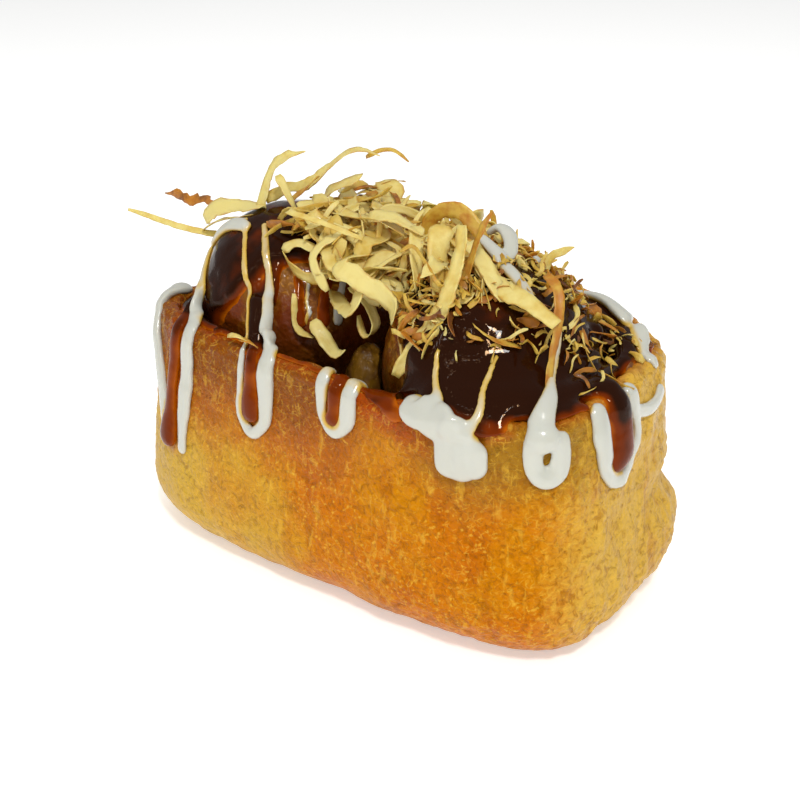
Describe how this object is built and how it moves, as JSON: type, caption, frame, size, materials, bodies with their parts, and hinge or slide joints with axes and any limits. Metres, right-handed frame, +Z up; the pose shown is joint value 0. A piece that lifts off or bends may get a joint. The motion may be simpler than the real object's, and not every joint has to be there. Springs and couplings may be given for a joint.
{
  "type": "takoyaki in a fried tofu pouch",
  "caption": "Deep-fried tofu pouch standing open at the top, holding takoyaki balls under dark sauce, mayonnaise drips and a heap of bonito flakes.",
  "frame": {"origin": "middle of the base on which the pouch stands", "axes": "+Z up, +X along the pouch towards the end with the thick folded lip, -Y towards the front"},
  "size_m": [0.0874, 0.0496, 0.0591],
  "materials": {
    "tofu_skin": "moist golden fried tofu skin, finely pitted, stained brown under the rim",
    "ball_crust": "browned batter crust under a film of sauce",
    "batter": "olive-brown cooked batter with pale specks",
    "bonito": "thin dry shavings, pale straw with amber edges",
    "brown_sauce": "glossy dark brown sauce, amber where thin",
    "mayonnaise": "white mayonnaise, glossy, tinted yellow where sauce runs into it"
  },
  "bodies": {
    "root": {"pouch": "tofu_skin", "ball_left": "ball_crust", "ball_right": "ball_crust", "batter_scrap": "batter", "flake_heap": "bonito"}
  },
  "joints": []
}
